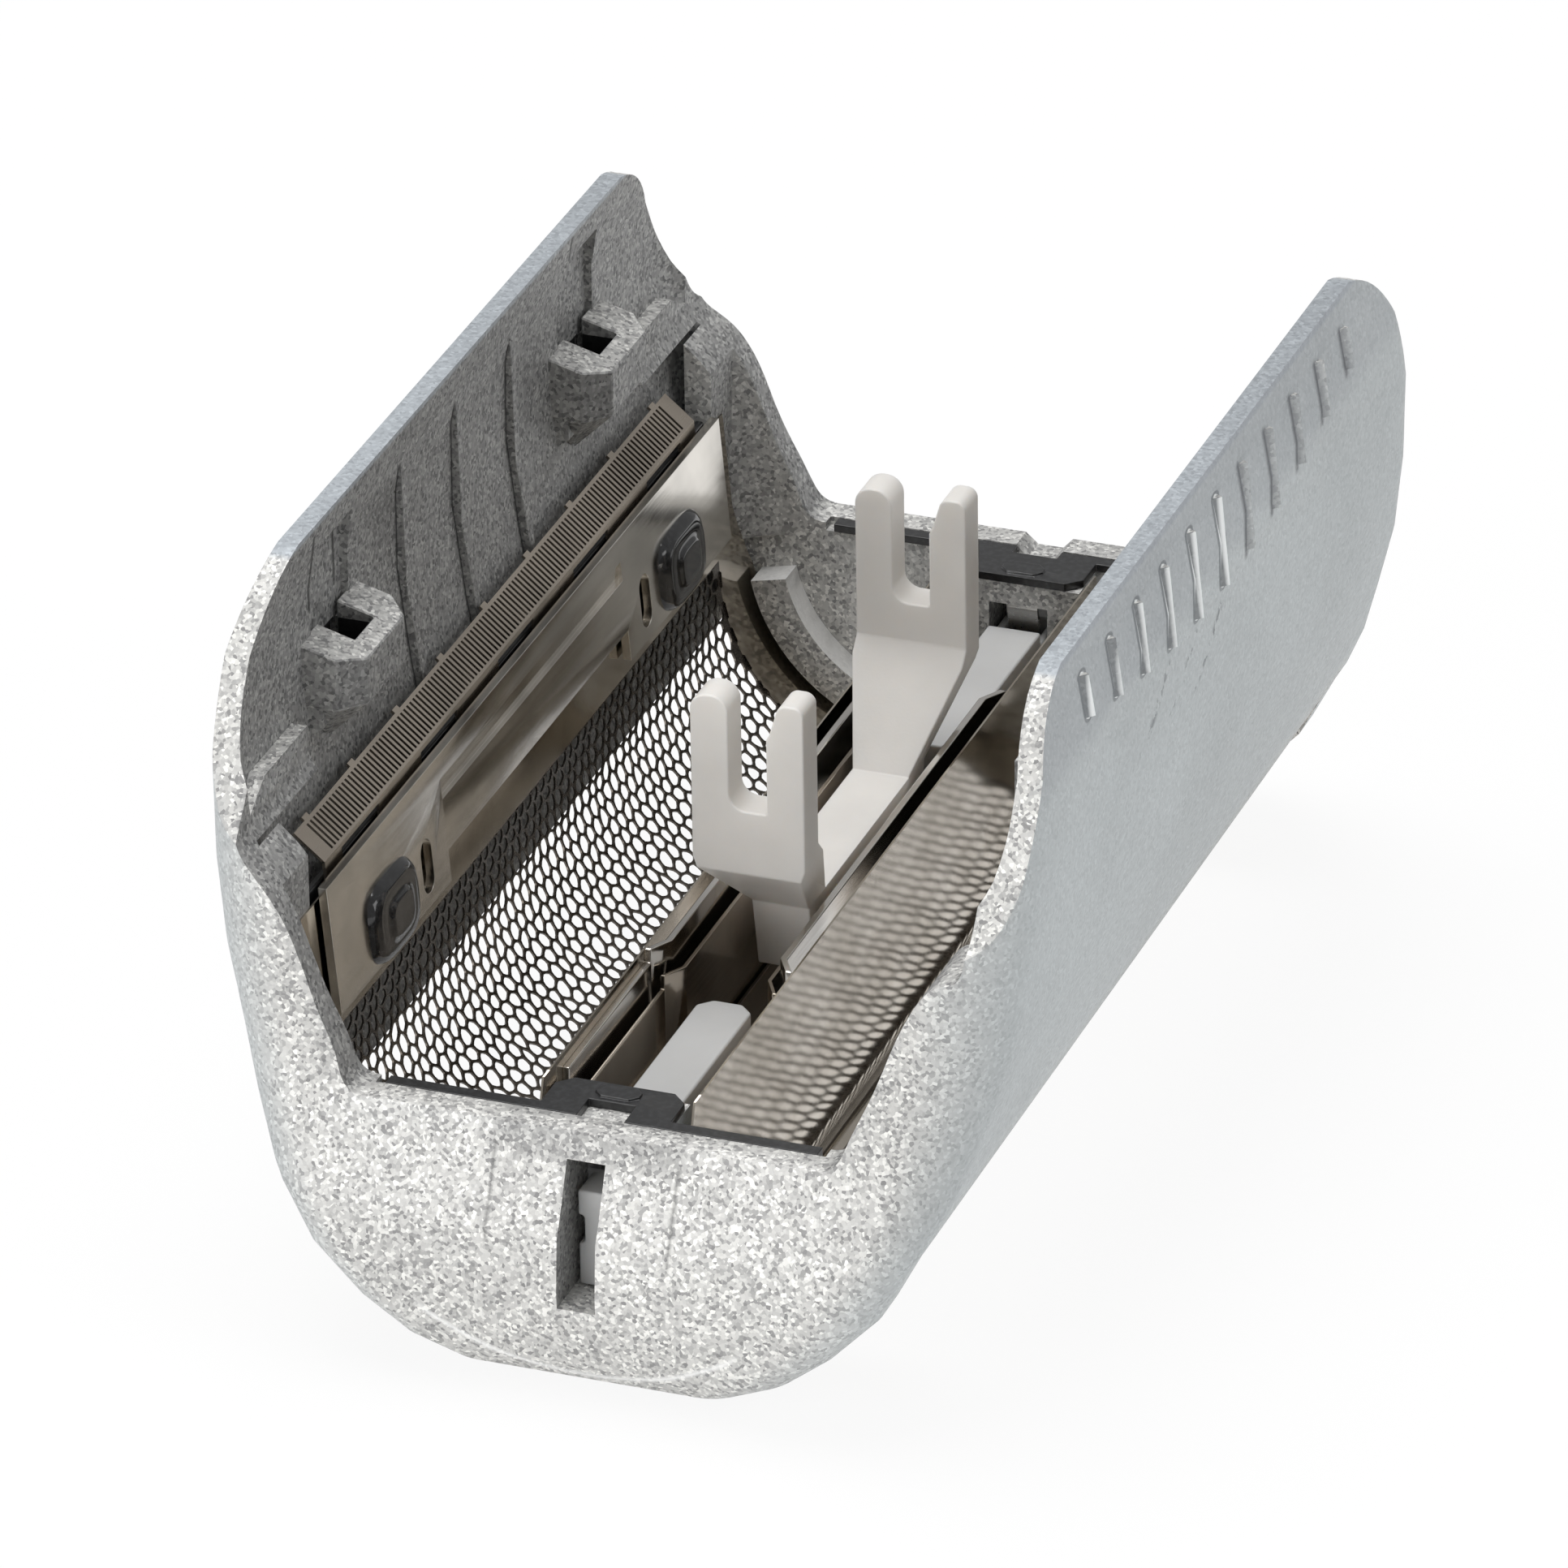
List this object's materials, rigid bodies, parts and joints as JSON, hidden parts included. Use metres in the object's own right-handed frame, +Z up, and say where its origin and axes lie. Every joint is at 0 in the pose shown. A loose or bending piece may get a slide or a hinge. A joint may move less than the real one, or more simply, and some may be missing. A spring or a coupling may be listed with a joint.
{
  "type": "shaver foil head",
  "caption": "Open-backed shaver foil head: silver frame with two tall wings, a pair of curved foils and a floating middle trimmer driven by white forks.",
  "frame": {"origin": "centre of the outline in plan, at the height of the two rounded ends that the head lies on", "axes": "+X across the head towards the right wing, +Y along the foils towards the far end, +Z up out of the open back; the foils face down"},
  "size_m": [0.028, 0.0472, 0.0241],
  "materials": {
    "silver_paint": "satin metallic paint on moulded plastic",
    "nickel_foil": "thin satin nickel sheet",
    "strip_steel": "polished sheet steel",
    "trimmer_steel": "ground sheet steel",
    "black_plastic": "gloss moulded plastic",
    "white_plastic": "satin moulded plastic"
  },
  "bodies": {
    "head": {"outer_frame": "silver_paint", "left_foil": "nickel_foil", "right_foil": "nickel_foil", "left_inner_strip": "strip_steel", "right_inner_strip": "strip_steel", "left_clamp_strip": "strip_steel", "right_clamp_strip": "strip_steel", "left_foil_rail": "black_plastic", "right_foil_rail": "black_plastic", "left_side_comb": "strip_steel", "right_side_comb": "strip_steel", "near_cap_plate": "black_plastic", "far_cap_plate": "black_plastic", "near_float_spring": "strip_steel", "far_float_spring": "strip_steel"},
    "trimmer": {"trimmer_comb": "trimmer_steel", "near_guide_block": "white_plastic", "far_guide_block": "white_plastic"},
    "cutter": {"inner_cutter": "trimmer_steel", "drive_forks": "white_plastic"}
  },
  "joints": [
    {"name": "trimmer_float", "type": "slide", "parent": "head", "child": "trimmer", "axis": [0, 0, 1], "range_m": [0, 0.0008], "stiffness_N_per_m": 200, "springref_m": -0.001, "deforming": ["near_float_spring", "far_float_spring"]},
    {"name": "trimmer_stroke", "type": "slide", "parent": "trimmer", "child": "cutter", "axis": [0, 1, 0], "range_m": [-0.002, 0]}
  ]
}
